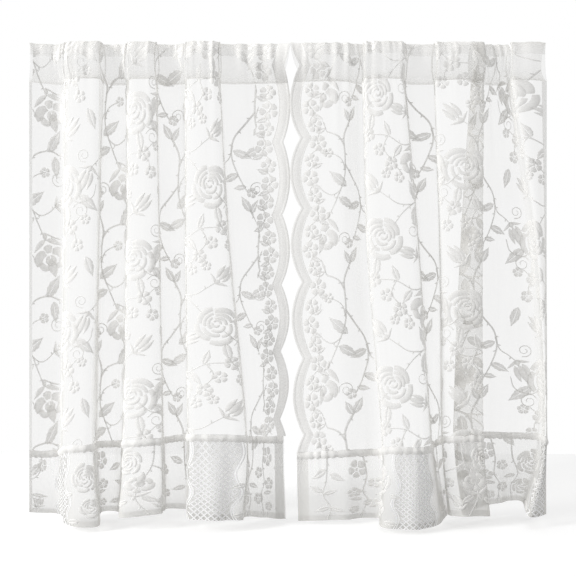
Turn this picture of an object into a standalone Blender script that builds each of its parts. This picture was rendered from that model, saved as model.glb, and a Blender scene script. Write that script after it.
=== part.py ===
"""A pair of lace cafe curtain panels, gathered and hanging side by side, as closed cloth solids.

Each panel is three pieces of cloth: a rod pocket, a body with a scalloped leading edge, and a
flounce gathered on below it. X runs along the rod, -Y faces the viewer, and Z = 0 is the top fold.
"""

from collections import namedtuple

import bpy
import numpy as np

MM = 0.001

# Driving sizes, in millimetres.
POCKET_DROP = 63.5  # from the top fold to the line of stitches that closes the pocket
MIDDLE_DROP = 330.0  # height at which the "middle" columns of the fold tables are given
CLOTH = 1.2  # thickness of the lace, doubled hems evened out
SEAM_BULK = 5.0  # thickness of the gathered allowance along the flounce seam
SEAM_TALL = 11.0  # height of that allowance
PIECE_GAP = 0.3  # clear space between two pieces that are sewn together
ROD_ROOM = 13.0  # from the rod's centre line to the nearest cloth, front or back
POCKET_FRONT_SWELL = 0.45  # how much of a fold's depth the pocket's front layer keeps
POCKET_BACK_SWELL = 0.30  # the same for its back layer
GATHER_DEPTH = 2.0  # half the depth of the small gathers along the rod
DEEPEST_GAP = -20.0  # how far behind the rod's line the cloth reaches between folds
HIGHEST_FOLD = 34.0  # how far in front of it the folds reach at the pocket
SCALLOP_REPEAT = 114.0  # height of one scallop of the leading edges
FIRST_NOTCH = 41.0  # drop of the first notch between two scallops
SCALLOPED_DROP = 640.0  # height over which the scallops' lobes and notches change evenly
NOTCH_SHARPNESS = 0.8  # below 1 the lobes are broad and the notches between them sharp
TOP_FOLD_SHARE = 0.4  # how much of a fold's depth is left where the pocket turns over

# Mesh counts.
STEPS_BETWEEN_TURNS = 4
BODY_ROWS = 6
EDGE_STEPS_PER_ROW = 7
FLOUNCE_LEVELS = (2.0, 2.35, 2.7, 3.0)  # from the seam, 2, to the hem, 3
SEAM_LEVELS = (0.0, 0.2, 0.8, 1.0)  # rows of the bulky allowance, as shares of its height

# Colours of the cloth, as linear red, green and blue, and its roughness.
DOUBLED_WHITE = (0.86, 0.86, 0.85)
FIGURED_WHITE = (0.88, 0.88, 0.87)
TRELLIS_WHITE = (0.84, 0.84, 0.83)
CLOTH_ROUGHNESS = 0.85

# Where a panel's cloth turns, from one side to the other, in millimetres. The x columns are
# distances along the rod, the out columns are distances towards the viewer, and the last two are
# the drops of the flounce seam and of the hem below the top fold.
Turn = namedtuple(
    "Turn",
    "name x_pocket x_middle x_seam x_hem out_pocket out_middle out_hem seam_drop hem_drop",
)
LEFT_TURNS = (
    Turn("outer_side", -413, -412, -412, -412, 4, 6, 6, 650, 749),
    Turn("outer_flat", -388, -390, -391, -389, -8, -8, -6, 654, 754),
    Turn("fold_1_root", -367, -368, -371, -368, -14, -18, -16, 653, 758),
    Turn("fold_1_left", -341, -343, -346, -341, 24, 34, 42, 637, 760),
    Turn("fold_1_right", -300, -301, -307, -295, 24, 34, 44, 634, 761),
    Turn("gap_1_left", -294, -302, -305, -304, -14, -18, -20, 640, 756),
    Turn("gap_1_right", -262, -264, -271, -276, -14, -18, -20, 639, 756),
    Turn("fold_2_left", -249, -249, -252, -259, 20, 30, 38, 629, 749),
    Turn("fold_2_right", -211, -205, -200, -199, 20, 28, 34, 626, 744),
    Turn("gap_2_left", -208, -204, -199, -198, -12, -14, -16, 632, 750),
    Turn("gap_2_right", -170, -168, -164, -165, -12, -14, -16, 628, 751),
    Turn("fold_3_left", -157, -156, -150, -151, 22, 34, 46, 618, 749),
    Turn("fold_3_right", -110, -95, -70, -76, 22, 34, 44, 620, 751),
    Turn("edge_root", -105, -90, -64, -68, -8, -8, -6, 630, 760),
    Turn("leading_edge", -3, -5, -8, -5, -3, -4, -1, 629, 762),
)
RIGHT_TURNS = (
    Turn("leading_edge", 6, 11, 14, 16, 5, 5, 4, 654, 764),
    Turn("edge_pleat", 87, 87, 89, 91, 8, 8, 6, 650, 761),
    Turn("edge_root", 118, 125, 149, 146, -12, -14, -14, 651, 764),
    Turn("fold_4_left", 123, 129, 150, 145, 22, 34, 46, 638, 762),
    Turn("fold_4_right", 179, 199, 217, 222, 22, 34, 46, 637, 762),
    Turn("gap_4_left", 194, 215, 235, 257, -12, -16, -20, 640, 762),
    Turn("gap_4_right", 233, 243, 248, 261, -12, -16, -18, 634, 754),
    Turn("fold_5_left", 236, 244, 248, 256, 14, 20, 24, 625, 750),
    Turn("fold_5_right", 310, 307, 308, 318, 16, 20, 22, 622, 751),
    Turn("fold_5_return", 293, 276, 266, 279, -2, -2, -4, 623, 755),
    Turn("gap_5_left", 321, 320, 322, 339, -16, -20, -38, 627, 748),
    Turn("gap_5_right", 354, 388, 406, 384, -14, -18, -38, 630, 744),
    Turn("outer_fold", 362, 394, 403, 378, 20, 20, 30, 624, 750),
    Turn("outer_side", 412, 412, 412, 412, 8, 6, 8, 631, 752),
)
# How near the seam lies to the hem's level in depth, between the middle and the hem.
SEAM_SHARE = 0.65

# Leading edges of the scalloped cloth: x of the lobes and of the notches between them, in
# millimetres, at the top fold and at the flounce seam.
Scallop = namedtuple("Scallop", "lobe_top lobe_seam notch_top notch_seam")
LEFT_SCALLOP = Scallop(3.5, 1.5, -5.5, -14.5)
RIGHT_SCALLOP = Scallop(2.5, 9.5, 17.5, 26.0)

# The pocket's section, once round from the top fold: drop, and how far the layer stands off
# towards its own side of the rod, as a share of the full swell.
POCKET_SECTION = (
    (0.0, 0.0),
    (0.16, 0.80),
    (0.45, 1.05),
    (0.78, 0.80),
    (1.0, 0.0),
    (0.78, -0.80),
    (0.45, -1.05),
    (0.16, -0.80),
)


def clear_scene():
    for obj in list(bpy.data.objects):
        bpy.data.objects.remove(obj, do_unlink=True)


def cloth_material(name, colour, roughness):
    """A plain Principled BSDF for one kind of lace."""
    material = bpy.data.materials.new(name)
    material.use_nodes = True
    shader = material.node_tree.nodes["Principled BSDF"]
    shader.inputs["Base Color"].default_value = (*colour, 1.0)
    shader.inputs["Roughness"].default_value = roughness
    shader.inputs["Metallic"].default_value = 0.0
    material.diffuse_color = (*colour, 1.0)
    return material


def spline(knots, values, at):
    """Cubic Hermite curve through values at the knots, its slopes taken from the neighbours."""
    slopes = np.gradient(values, knots, axis=0)
    left = np.clip(np.searchsorted(knots, at, side="right") - 1, 0, len(knots) - 2)
    span = knots[left + 1] - knots[left]
    share = ((at - knots[left]) / span)[:, None]
    span = span[:, None]
    rise = values[left + 1] - values[left]
    ends = span * (slopes[left] * (1 - share) - slopes[left + 1] * share)
    bulge = ends + rise * (2 * share - 1)
    return values[left] + share * rise + share * (1 - share) * bulge


def level_tables(turns):
    """The turns' x, out and drop as arrays of level by turn: pocket, middle, seam, hem."""
    rows = np.array([turn[1:] for turn in turns], float)
    across = rows[:, :4].T
    out = rows[:, [4, 5, 5, 6]].T
    out[2] = (1 - SEAM_SHARE) * out[1] + SEAM_SHARE * out[3]
    drop = np.empty_like(across)
    drop[0] = POCKET_DROP
    drop[1] = MIDDLE_DROP
    drop[2] = rows[:, 7]
    drop[3] = rows[:, 8]
    return across, out, drop


def cloth_columns(turns, level_rows):
    """The cloth's x, out and drop, as arrays of row by column, at heights given as levels.

    Level 0 is the pocket's stitches, 1 the middle, 2 the flounce seam and 3 the hem.
    """
    levels = np.arange(4.0)
    tables = level_tables(turns)
    across, out = tables[0][1], tables[1][1]
    chords = np.hypot(np.diff(across), np.diff(out))
    knots = np.concatenate([[0.0], np.cumsum(np.sqrt(chords))])
    steps = np.arange((len(turns) - 1) * STEPS_BETWEEN_TURNS + 1) / STEPS_BETWEEN_TURNS
    at = np.interp(steps, np.arange(len(turns)), knots)
    found = []
    for table in tables:
        rows = spline(levels, table, np.asarray(level_rows, float))
        found.append(spline(knots, rows.T, at).T)
    return found


def scalloped(edge, drop):
    """x of a scalloped edge at each drop: round lobes that meet in sharper notches."""
    down = np.clip(drop / SCALLOPED_DROP, 0.0, 1.0)
    lobe = edge.lobe_top + (edge.lobe_seam - edge.lobe_top) * down
    notch = edge.notch_top + (edge.notch_seam - edge.notch_top) * down
    swell = np.abs(np.sin(np.pi * (drop - FIRST_NOTCH) / SCALLOP_REPEAT)) ** NOTCH_SHARPNESS
    return notch + (lobe - notch) * swell


def grid_faces(rows, columns, closed=False):
    """Quads between neighbouring rows and columns of a grid, row 0 after the last if closed."""
    faces = []
    for row in range(rows if closed else rows - 1):
        after = (row + 1) % rows
        for column in range(columns - 1):
            near, far = row * columns + column, after * columns + column
            faces.append((near, near + 1, far + 1, far))
    return faces


def add_cloth(name, points, faces, thickness, material, bulky=()):
    """A cloth object from points in millimetres, given its thickness by a Solidify modifier.

    The bulky vertices get the whole thickness and the others the plain cloth's.
    """
    mesh = bpy.data.meshes.new(name)
    mesh.from_pydata((np.asarray(points) * MM).tolist(), [], faces)
    mesh.update()
    mesh.materials.append(material)
    obj = bpy.data.objects.new(name, mesh)
    bpy.context.scene.collection.objects.link(obj)
    solidify = obj.modifiers.new("cloth_thickness", "SOLIDIFY")
    solidify.thickness = thickness * MM
    solidify.offset = 0.0
    if len(bulky):
        group = obj.vertex_groups.new(name="bulk")
        group.add([int(index) for index in bulky], 1.0, "REPLACE")
        solidify.vertex_group = group.name
        solidify.thickness_vertex_group = CLOTH / thickness
    return obj


def in_space(across, out, drop):
    """Points with X along the rod, -Y towards the viewer and Z down from the top fold."""
    return np.stack([across, -out, -drop], axis=-1).reshape(-1, 3)


def lead_last(turns):
    """The turns ordered so that the leading edge is the last."""
    return turns if turns[-1].name == "leading_edge" else turns[::-1]


def build_pocket(side, turns, edge, material):
    """The tube that the rod goes through, its front layer swelled by the folds it is drawn into."""
    across, out, _ = (rows[0] for rows in cloth_columns(turns, [0.0]))
    gathers = GATHER_DEPTH * np.cos(np.pi * np.arange(len(across)))
    points = []
    for share, swell in POCKET_SECTION:
        drop = CLOTH / 2 + share * (POCKET_DROP - CLOTH)
        joined = out * (TOP_FOLD_SHARE + (1 - TOP_FOLD_SHARE) * share)
        front = ROD_ROOM + POCKET_FRONT_SWELL * (out - DEEPEST_GAP)
        back = -ROD_ROOM - POCKET_BACK_SWELL * (HIGHEST_FOLD - out)
        layer = front if swell > 0 else back
        depth = joined + abs(swell) * (layer + gathers - joined)
        row = across.copy()
        row[-1] = scalloped(edge, drop)
        points.append(in_space(row, depth, np.full_like(row, drop)))
    faces = grid_faces(len(POCKET_SECTION), len(across), closed=True)
    return add_cloth(f"{side}_rod_pocket", np.concatenate(points), faces, CLOTH, material)


def build_body(side, turns, edge, material):
    """The folded lace from the pocket's stitches to the flounce seam, with its scalloped edge."""
    levels = np.linspace(0.0, 2.0, BODY_ROWS + 1)
    across, out, drop = cloth_columns(turns, levels)
    drop[0] += PIECE_GAP
    drop[-1] -= PIECE_GAP
    rows, columns = drop.shape
    inner = columns - 1
    points = in_space(across[:, :inner], out[:, :inner], drop[:, :inner])
    faces = grid_faces(rows, inner)
    fine = np.arange((rows - 1) * EDGE_STEPS_PER_ROW + 1) / EDGE_STEPS_PER_ROW
    edge_drop = np.interp(fine, np.arange(rows), drop[:, -1])
    edge_out = np.interp(fine, np.arange(rows), out[:, -1])
    edge_points = in_space(scalloped(edge, edge_drop), edge_out, edge_drop)
    for row in range(rows - 1):
        first = len(points) + row * EDGE_STEPS_PER_ROW
        run = range(first, first + EDGE_STEPS_PER_ROW + 1)
        faces.append((row * inner + inner - 1, *run, (row + 1) * inner + inner - 1))
    return add_cloth(f"{side}_panel", np.concatenate([points, edge_points]), faces, CLOTH, material)


def build_flounce(side, turns, material):
    """The gathered flounce, with its bulky seam allowance along the top and its hem below."""
    across, out, drop = cloth_columns(turns, FLOUNCE_LEVELS)
    bead_drops = np.array(SEAM_LEVELS) * SEAM_TALL
    bead = [(across[0], out[0], drop[0] + below) for below in bead_drops]
    rest = list(zip(across[1:], out[1:], drop[1:], strict=True))
    points = np.concatenate([in_space(*row) for row in bead + rest])
    columns = across.shape[1]
    faces = grid_faces(len(bead) + len(rest), columns)
    bulky = np.arange(columns, 3 * columns)
    return add_cloth(f"{side}_flounce", points, faces, SEAM_BULK, material, bulky)


def build_panel(side, turns, edge):
    """One curtain panel: pocket, body and flounce."""
    turns = lead_last(turns)
    pocket_cloth = cloth_material(f"{side}_doubled_lace", DOUBLED_WHITE, CLOTH_ROUGHNESS)
    body_cloth = cloth_material(f"{side}_figured_lace", FIGURED_WHITE, CLOTH_ROUGHNESS)
    flounce_cloth = cloth_material(f"{side}_trellis_lace", TRELLIS_WHITE, CLOTH_ROUGHNESS)
    build_pocket(side, turns, edge, pocket_cloth)
    build_body(side, turns, edge, body_cloth)
    build_flounce(side, turns, flounce_cloth)


clear_scene()
build_panel("left", LEFT_TURNS, LEFT_SCALLOP)
build_panel("right", RIGHT_TURNS, RIGHT_SCALLOP)
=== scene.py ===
# %% [markdown]
# # A pair of lace cafe curtain panels
# A cafe curtain covers the lower half of a window. Each panel here is three pieces of knitted lace:
# a doubled rod pocket, a figured body with a scalloped leading edge, and a flounce gathered on
# below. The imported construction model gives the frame, so every piece below goes where it says.

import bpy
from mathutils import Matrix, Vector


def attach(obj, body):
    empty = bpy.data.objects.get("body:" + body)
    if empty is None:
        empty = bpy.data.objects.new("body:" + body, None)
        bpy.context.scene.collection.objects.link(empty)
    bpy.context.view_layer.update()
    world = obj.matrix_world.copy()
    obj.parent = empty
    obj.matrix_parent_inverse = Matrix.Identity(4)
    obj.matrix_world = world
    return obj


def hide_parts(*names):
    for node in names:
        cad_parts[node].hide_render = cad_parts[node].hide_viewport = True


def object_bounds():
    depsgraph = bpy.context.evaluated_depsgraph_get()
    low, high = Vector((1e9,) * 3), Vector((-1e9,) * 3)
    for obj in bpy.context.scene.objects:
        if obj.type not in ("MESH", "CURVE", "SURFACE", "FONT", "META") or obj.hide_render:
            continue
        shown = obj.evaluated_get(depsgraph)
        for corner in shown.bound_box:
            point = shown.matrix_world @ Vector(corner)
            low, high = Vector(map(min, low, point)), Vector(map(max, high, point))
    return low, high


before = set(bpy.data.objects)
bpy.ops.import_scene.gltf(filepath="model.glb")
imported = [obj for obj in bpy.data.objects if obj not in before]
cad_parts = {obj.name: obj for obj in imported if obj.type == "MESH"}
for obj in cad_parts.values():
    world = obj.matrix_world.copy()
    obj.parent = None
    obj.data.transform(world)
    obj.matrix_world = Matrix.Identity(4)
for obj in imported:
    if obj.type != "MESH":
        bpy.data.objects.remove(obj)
cad_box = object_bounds()
print("construction box, metres:", [[round(c, 4) for c in corner] for corner in cad_box])

# %% Modules and units
from collections import namedtuple

import bpy
import numpy as np
from mathutils import Vector

MM = 0.001


def in_scene(name, data):
    """A new object for a mesh, light or camera, linked to the scene."""
    thing = bpy.data.objects.new(name, data)
    bpy.context.scene.collection.objects.link(thing)
    return thing


print("nodes:", sorted(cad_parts))

# %% [markdown]
# ## How the cloth hangs
# Gathered cloth turns forwards and backwards along the rod. Blender's cloth simulation could hang
# it, but wouldn't put each fold in its own place. Seen from above the cloth is one winding line,
# so here it is given by the few places where it turns, at four heights. A smooth curve through
# them, first along the cloth and then down it, makes the whole drape. The same places shape the
# construction solids, so the lace lies where they do.

# %% Driving sizes, in millimetres
POCKET_DROP = 63.5
MIDDLE_DROP = 330.0
SEAM_SHARE = 0.65
ROD_ROOM = 13.0
POCKET_FRONT_SWELL = 0.45
POCKET_BACK_SWELL = 0.30
DEEPEST_GAP = -20.0
HIGHEST_FOLD = 34.0
SCALLOP_REPEAT = 114.0
FIRST_NOTCH = 41.0
SCALLOPED_DROP = 640.0
NOTCH_SHARPNESS = 0.8  # below 1 the lobes are broad and the notches between them sharp
TOP_FOLD_SHARE = 0.4  # how much of a fold's depth is left where the pocket turns over
BODY_LENGTH = 574.0  # flat length of the body, from the pocket's stitches to the flounce seam
FLOUNCE_LENGTH = 124.0  # flat length of the flounce, from its seam to its hem
print("scallops along each edge:", round((POCKET_DROP + BODY_LENGTH) / SCALLOP_REPEAT, 1))

# %% Where the cloth turns, in millimetres: along the rod, towards the viewer, and down
Turn = namedtuple(
    "Turn",
    "name x_pocket x_middle x_seam x_hem out_pocket out_middle out_hem seam_drop hem_drop",
)
TURNS = {
    "left": (
        Turn("outer_side", -413, -412, -412, -412, 4, 6, 6, 650, 749),
        Turn("outer_flat", -388, -390, -391, -389, -8, -8, -6, 654, 754),
        Turn("fold_1_root", -367, -368, -371, -368, -14, -18, -16, 653, 758),
        Turn("fold_1_left", -341, -343, -346, -341, 24, 34, 42, 637, 760),
        Turn("fold_1_right", -300, -301, -307, -295, 24, 34, 44, 634, 761),
        Turn("gap_1_left", -294, -302, -305, -304, -14, -18, -20, 640, 756),
        Turn("gap_1_right", -262, -264, -271, -276, -14, -18, -20, 639, 756),
        Turn("fold_2_left", -249, -249, -252, -259, 20, 30, 38, 629, 749),
        Turn("fold_2_right", -211, -205, -200, -199, 20, 28, 34, 626, 744),
        Turn("gap_2_left", -208, -204, -199, -198, -12, -14, -16, 632, 750),
        Turn("gap_2_right", -170, -168, -164, -165, -12, -14, -16, 628, 751),
        Turn("fold_3_left", -157, -156, -150, -151, 22, 34, 46, 618, 749),
        Turn("fold_3_right", -110, -95, -70, -76, 22, 34, 44, 620, 751),
        Turn("edge_root", -105, -90, -64, -68, -8, -8, -6, 630, 760),
        Turn("leading_edge", -3, -5, -8, -5, -3, -4, -1, 629, 762),
    ),
    "right": (
        Turn("outer_side", 412, 412, 412, 412, 8, 6, 8, 631, 752),
        Turn("outer_fold", 362, 394, 403, 378, 20, 20, 30, 624, 750),
        Turn("gap_5_right", 354, 388, 406, 384, -14, -18, -38, 630, 744),
        Turn("gap_5_left", 321, 320, 322, 339, -16, -20, -38, 627, 748),
        Turn("fold_5_return", 293, 276, 266, 279, -2, -2, -4, 623, 755),
        Turn("fold_5_right", 310, 307, 308, 318, 16, 20, 22, 622, 751),
        Turn("fold_5_left", 236, 244, 248, 256, 14, 20, 24, 625, 750),
        Turn("gap_4_right", 233, 243, 248, 261, -12, -16, -18, 634, 754),
        Turn("gap_4_left", 194, 215, 235, 257, -12, -16, -20, 640, 762),
        Turn("fold_4_right", 179, 199, 217, 222, 22, 34, 46, 637, 762),
        Turn("fold_4_left", 123, 129, 150, 145, 22, 34, 46, 638, 762),
        Turn("edge_root", 118, 125, 149, 146, -12, -14, -14, 651, 764),
        Turn("edge_pleat", 87, 87, 89, 91, 8, 8, 6, 650, 761),
        Turn("leading_edge", 6, 11, 14, 16, 5, 5, 4, 654, 764),
    ),
}
Scallop = namedtuple("Scallop", "lobe_top lobe_seam notch_top notch_seam")
SCALLOPS = {
    "left": Scallop(3.5, 1.5, -5.5, -14.5),
    "right": Scallop(2.5, 9.5, 17.5, 26.0),
}
TOWARDS_EDGE = {"left": 1.0, "right": -1.0}  # the way along X from the outer side to the edge
print("turns:", {side: len(turns) for side, turns in TURNS.items()})

# %% Smooth curves through the turns
OVERHANG = 16.0  # mm of cloth past the leading edge's mean line
COLUMN_STEP = 1.6  # mm between a drape's columns


def spline(knots, values, at):
    """Cubic Hermite curve: at each knot its slope is the one that its neighbours suggest."""
    slopes = np.gradient(values, knots, axis=0)
    left = np.clip(np.searchsorted(knots, at, side="right") - 1, 0, len(knots) - 2)
    span = (knots[left + 1] - knots[left])[:, None]
    share = (at - knots[left])[:, None] / span
    rise = values[left + 1] - values[left]
    ends = span * (slopes[left] * (1 - share) - slopes[left + 1] * share)
    return values[left] + share * rise + share * (1 - share) * (ends + rise * (2 * share - 1))


def level_tables(side):
    """x, out and drop of the turns at the pocket, middle, seam and hem, with an overhang added.

    The overhang carries the cloth on past the leading edge's mean line, for the scallops' lobes.
    """
    rows = np.array([turn[1:] for turn in TURNS[side]], float)
    past = rows[-1:].copy()
    past[:, :4] += OVERHANG * TOWARDS_EDGE[side]
    rows = np.concatenate([rows, past])
    across = rows[:, :4].T
    out = rows[:, [4, 5, 5, 6]].T
    out[2] = (1 - SEAM_SHARE) * out[1] + SEAM_SHARE * out[3]
    drop = np.stack([0 * across[0] + POCKET_DROP, 0 * across[0] + MIDDLE_DROP, *rows[:, 7:].T])
    return across, out, drop


def winding(side, levels):
    """The winding line at each level, as x, out and drop in arrays of level by column.

    Columns are even in length along the cloth at middle height, and u is that length. The last
    value returned is the u of the leading edge's mean line.
    """
    tables = level_tables(side)
    across, out = tables[0][1], tables[1][1]
    knots = np.concatenate([[0.0], np.cumsum(np.sqrt(np.hypot(np.diff(across), np.diff(out))))])
    fine = np.linspace(0.0, knots[-1], 4000)
    walk = spline(knots, np.stack([across, out], axis=1), fine)
    length = np.concatenate([[0.0], np.cumsum(np.hypot(*np.diff(walk, axis=0).T))])
    u = np.linspace(0.0, length[-1], int(length[-1] / COLUMN_STEP) + 1)
    at = np.interp(u, length, fine)
    found = [spline(knots, spline(np.arange(4.0), table, levels).T, at).T for table in tables]
    return u, *found, float(np.interp(knots[-2], fine, length))


for side in TURNS:
    cut_width = winding(side, np.array([1.0]))[-1]
    print(side, "panel, cut width along the cloth, mm:", round(cut_width))

# %% [markdown]
# ## The drape as a surface to draw on
# Every piece of lace, and every flower on it, is first drawn flat, in millimetres: u runs along
# the cloth from the outer side hem, and v down it. A Surface Deform modifier could then bend it
# onto the folds. Looking its place up in arrays is quicker, and keeps u and v for the finishes. A
# drape is a dense grid of points with normals at known u and v, and anything flat is laid on it,
# so a petal bends round a fold just as the knitted one does.

# %% A drape, and laying flat points on it
Drape = namedtuple("Drape", "u v points normals edge_u")


def with_normals(u, v, points, edge_u, hand):
    """A Drape whose normals are the cross product of its two directions, times hand, 1 or -1.

    The hand is chosen so that the normals face the viewer where the cloth lies flat.
    """
    along = np.gradient(points, u, axis=1)
    down = np.gradient(points, v, axis=0)
    normals = np.cross(down, along) * hand
    normals /= np.linalg.norm(normals, axis=2, keepdims=True)
    return Drape(u, v, points, normals, edge_u)


def lay(drape, u, v, lift=0.0):
    """Flat points laid on a drape, and the normals there: the grid's four nearest, by distance."""
    column = np.clip((u - drape.u[0]) / (drape.u[1] - drape.u[0]), 0, len(drape.u) - 1.001)
    row = np.clip((v - drape.v[0]) / (drape.v[1] - drape.v[0]), 0, len(drape.v) - 1.001)
    i, j = column.astype(int), row.astype(int)
    a, b = (column - i)[..., None], (row - j)[..., None]

    def mixed(grid):
        upper = grid[j, i] * (1 - a) + grid[j, i + 1] * a
        lower = grid[j + 1, i] * (1 - a) + grid[j + 1, i + 1] * a
        return upper * (1 - b) + lower * b

    normals = mixed(drape.normals)
    return mixed(drape.points) + normals * np.asarray(lift)[..., None], normals


def as_points(across, out, drop):
    """Millimetre columns turned to points: X along the rod, -Y to the viewer, Z up."""
    return np.stack([across, -out, -drop], axis=-1)


def outward(across, out):
    """Unit vectors square to the winding line, in plan, towards the viewer on a flat stretch."""
    run_x, run_out = np.gradient(across, axis=1), np.gradient(out, axis=1)
    size = np.hypot(run_x, run_out)
    facing = np.sign(np.sum(run_x))
    return -run_out / size * facing, run_x / size * facing


print("a drape keeps:", ", ".join(Drape._fields))


# %% [markdown]
# ## Gathers
# Along the rod the cloth is bunched into small pleats that open out below the stitches, and the
# flounce is bunched again where it is sewn on. A Displace modifier could push them out of each
# mesh. As waves in the drape itself they bend the net and its figures alike. Their spacing drifts
# along the cloth, because a wave of one even length looks machined.

# %% Waves for the gathers and for slack in the cloth
def gathers(u, pitch, seed):
    """A wave of about the given pitch, in -1 to 1, whose pitch and height drift along u."""
    drift = 1.3 * np.sin(2 * np.pi * u / (5.3 * pitch) + seed) + 0.8 * np.sin(u / (1.9 * pitch))
    swell = 0.62 + 0.38 * np.sin(2 * np.pi * u / (3.7 * pitch) + 2.1 * seed)
    return swell * np.sin(2 * np.pi * u / pitch + drift)


def slack(u, v, seed):
    """Soft upright troughs and ridges, wandering a little sideways as they go down, in mm."""
    lean = 6.0 * np.sin(v / 170.0 + seed)
    broad = 1.1 * np.sin((u + lean) / 13.0 + seed)
    fine = 0.55 * np.sin((u - 0.6 * lean) / 5.6 + 1.7 * seed + 0.8 * np.sin(v / 95.0))
    return broad + fine


SEEDS = {"left": 0.4, "right": 2.3}
FINE_PITCH, FINE_HEIGHT, FINE_FADE = 11.0, 0.55, 26.0  # mm, also the drop in which it fades
BROAD_PITCH, BROAD_HEIGHT, BROAD_FADE = 25.0, 1.8, 60.0
SEAM_PITCH, SEAM_HEIGHT, SEAM_FADE, SEAM_SEED = 17.0, 1.5, 14.0, 1.7


def rod_gathers(u, side, fine=1.0, broad=1.0):
    """The pleats along the rod: shares of a fine wave and of a broad one, added."""
    narrow = FINE_HEIGHT * gathers(u, FINE_PITCH, SEEDS[side])
    return fine * narrow + broad * BROAD_HEIGHT * gathers(u, BROAD_PITCH, SEEDS[side] + 1)


pleats = rod_gathers(np.array([10.0, 20.0, 30.0]), "left")
print("left pleats at u = 10, 20, 30 mm:", pleats.round(2))

# %% The body's drape
BODY_ROWS = 193
BODY_SLACK, SLACK_GROWTH = 0.45, 90.0  # share of the slack, and mm of drop in which it grows


def body_drape(side):
    """Levels 0 to 2 of the winding line, pushed in and out by gathers that die away downwards."""
    levels = np.linspace(0.0, 2.0, BODY_ROWS)
    u, across, out, drop, edge_u = winding(side, levels)
    share = (drop[:, :1] - drop[0, 0]) / (drop[-1, :1] - drop[0, 0])
    v = share[:, 0] * BODY_LENGTH
    along, down = u[None, :], v[:, None]
    wave = rod_gathers(along, side, np.exp(-down / FINE_FADE), np.exp(-down / BROAD_FADE))
    grown = np.minimum(down / SLACK_GROWTH, 1.0)
    wave = wave + BODY_SLACK * slack(along, down, SEEDS[side]) * grown
    near_seam = np.exp((down - BODY_LENGTH) / SEAM_FADE)
    wave = wave + SEAM_HEIGHT * near_seam * gathers(along, SEAM_PITCH, SEAM_SEED)
    push_x, push_out = outward(across, out)
    points = as_points(across + wave * push_x, out + wave * push_out, drop)
    even = np.linspace(0.0, BODY_LENGTH, BODY_ROWS)
    row = np.interp(even, v, np.arange(len(v)))
    low = row.astype(int).clip(0, len(v) - 2)
    share = (row - low)[:, None, None]
    points = points[low] * (1 - share) + points[low + 1] * share
    return with_normals(u, even, points, edge_u, TOWARDS_EDGE[side])


drapes = {(side, "panel"): body_drape(side) for side in TURNS}
print("a body's drape, rows by columns:", drapes["left", "panel"].points.shape[:2])

# %% The pocket's drape, up the front, over the top fold and down the back
END_REACH, END_DRAWN_IN = 70.0, 8.5  # mm: the open end draws in round the rod
TOP_GAP = 0.8  # mm from the top of the frame to the cloth's top fold


def pocket_drape(side):
    """Both layers stand off the rod by a rounded arch and meet at the fold and at the stitches."""
    u, across, out, _, edge_u = winding(side, np.array([0.0]))
    v = np.linspace(0.0, 2 * POCKET_DROP, 97)
    around = np.abs(1 - v / POCKET_DROP)[:, None]  # 1 at the stitches, 0 at the top fold
    front = (v <= POCKET_DROP)[:, None]
    steep = np.where(around > 0.5, 0.75, 0.45)  # the top fold is rounder than the stitched foot
    arch = np.sin(np.pi * np.clip(around, 0.0, 1.0)) ** steep
    joined = out * (TOP_FOLD_SHARE + (1 - TOP_FOLD_SHARE) * around)
    room = np.where(
        front,
        ROD_ROOM + POCKET_FRONT_SWELL * (out - DEEPEST_GAP),
        -ROD_ROOM - POCKET_BACK_SWELL * (HIGHEST_FOLD - out),
    )
    bunched = np.where(front, 1.0, 0.7) * (1.0 + 0.8 * (1 - around))
    wave = bunched * rod_gathers(u, side)
    depth = joined + arch * (room - joined) + wave * np.where(around < 0.02, 0.6, 1.0)
    drop = TOP_GAP + (POCKET_DROP - TOP_GAP) * around
    open_end = np.clip(1 - u / END_REACH, 0.0, 1.0) ** 1.5
    across = across + END_DRAWN_IN * TOWARDS_EDGE[side] * open_end * arch * front
    points = as_points(across, depth, drop + 0 * depth)
    return with_normals(u, v, points, edge_u, -TOWARDS_EDGE[side])


for side in TURNS:
    drapes[side, "pocket"] = pocket_drape(side)
print("a pocket's drape, rows by columns:", drapes["left", "pocket"].points.shape[:2])

# %% The flounce's drape
FULL_PITCH, FULL_HEIGHT, FULL_FADE = 41.0, 2.0, 20.0  # its own fuller waves, below the seam
FLOUNCE_SLACK = 0.7


def flounce_drape(side):
    """Levels 2 to 3 of the winding line, gathered at the seam and fuller towards the hem."""
    levels = np.linspace(2.0, 3.0, 65)
    u, across, out, drop, edge_u = winding(side, levels)
    v = (levels - 2.0) * FLOUNCE_LENGTH
    fading = np.exp(-v / FULL_FADE)[:, None]
    wave = SEAM_HEIGHT * fading * gathers(u, SEAM_PITCH, SEAM_SEED)[None, :]
    full = gathers(u, FULL_PITCH, SEEDS[side] + 2)[None, :]
    wave = wave + FULL_HEIGHT * (1 - fading) * full
    wave = wave + FLOUNCE_SLACK * slack(u[None, :], v[:, None] + 300.0, SEEDS[side] + 3)
    push_x, push_out = outward(across, out)
    points = as_points(across + wave * push_x, out + wave * push_out, drop)
    return with_normals(u, v, points, edge_u, TOWARDS_EDGE[side])


for side in TURNS:
    drapes[side, "flounce"] = flounce_drape(side)
for key, drape in drapes.items():
    print(key, "lowest corner, mm:", drape.points.min((0, 1)).round())

# %% [markdown]
# ## The scalloped edge
# Round lobes meet in sharper notches, once every 114 mm. A Boolean could cut them from a straight
# sheet, but it leaves ragged triangles, and the real edge is knitted to shape. Here it is a line
# of u for each drop, which the cloth's last column, its border and its flowers all follow.

# %% u of the scalloped edge at a drop
PARTING = 2.2  # the two panels' lobes nearly meet, and part only low down


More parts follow.
